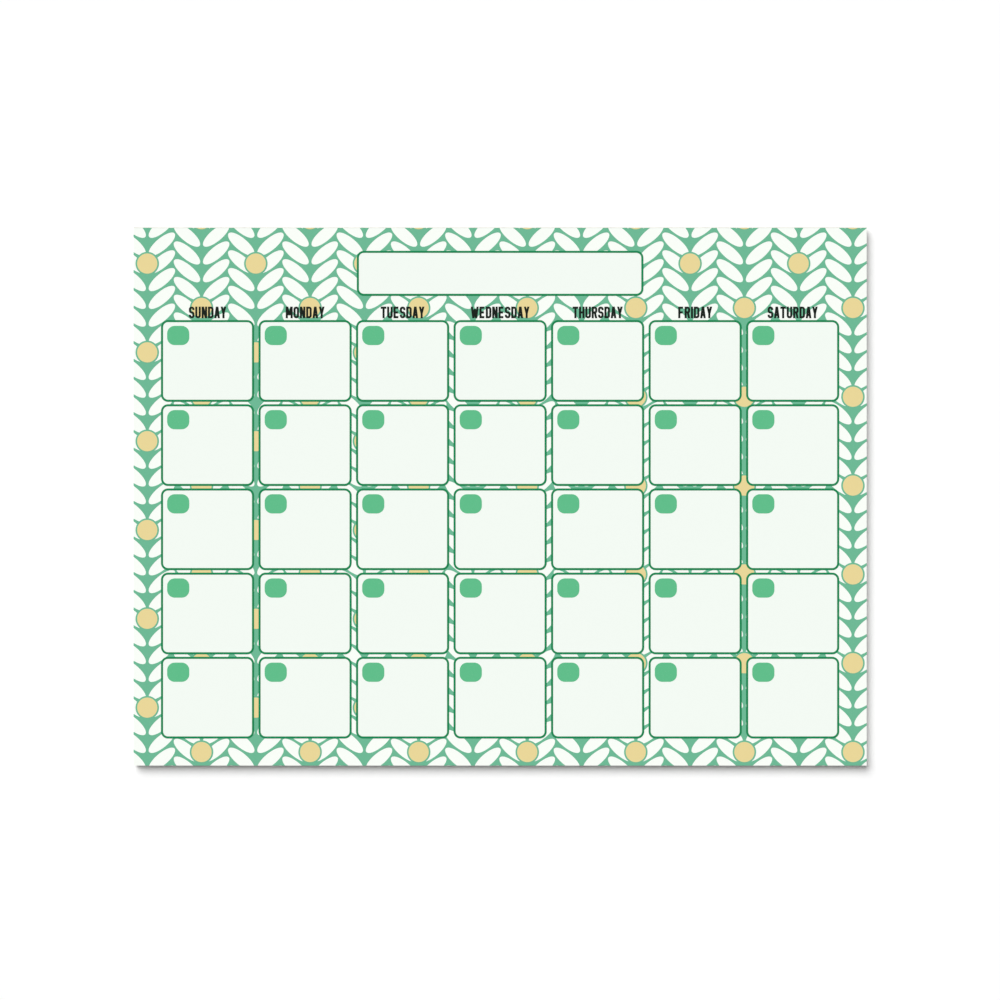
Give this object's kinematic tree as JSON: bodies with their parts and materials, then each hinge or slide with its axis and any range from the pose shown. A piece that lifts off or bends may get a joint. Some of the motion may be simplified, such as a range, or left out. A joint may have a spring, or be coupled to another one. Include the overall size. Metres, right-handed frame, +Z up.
{
  "type": "monthly planner",
  "caption": "Undated monthly planner: a flat tear-off desk pad with a blank title box, a grid of day boxes with date tabs, and a leaf pattern, glued along its top edge to a grey board.",
  "frame": {"origin": "on the surface that the pad lies on, under the middle of its outline with the gum strip", "axes": "+X along the long side of the page to the right, +Y towards the page's glued top edge, +Z up, out of the printed page"},
  "size_m": [0.381, 0.28, 0.0062],
  "materials": {
    "board": "raw grey board, matt",
    "paper": "uncoated white writing paper, matt",
    "gum": "dried white padding gum, satin",
    "green_ink": "soft green offset print on paper, matt",
    "dark_green_ink": "dark green offset print on paper, matt",
    "mint_ink": "pale mint tint printed on paper, matt",
    "straw_ink": "straw yellow offset print on paper, matt"
  },
  "bodies": {
    "root": {"backing_board": "board", "sheet_pad": "paper", "gum_strip": "gum", "ground_print": "green_ink", "day_tint": "mint_ink", "day_outlines": "dark_green_ink", "grid_gaps": "green_ink", "title_tint": "mint_ink", "title_outline": "dark_green_ink", "berry_1": "straw_ink", "berry_2": "straw_ink", "berry_3": "straw_ink", "berry_4": "straw_ink", "berry_5": "straw_ink", "berry_6": "straw_ink", "berry_7": "straw_ink", "berry_8": "straw_ink", "berry_9": "straw_ink", "berry_10": "straw_ink", "berry_11": "straw_ink", "berry_12": "straw_ink", "berry_13": "straw_ink", "berry_14": "straw_ink", "berry_15": "straw_ink", "berry_16": "straw_ink", "berry_17": "straw_ink", "berry_18": "straw_ink", "berry_19": "straw_ink", "berry_20": "straw_ink", "berry_21": "straw_ink", "berry_22": "straw_ink", "berry_23": "straw_ink", "berry_24": "straw_ink", "berry_25": "straw_ink", "berry_26": "straw_ink", "berry_27": "straw_ink"}
  },
  "joints": []
}
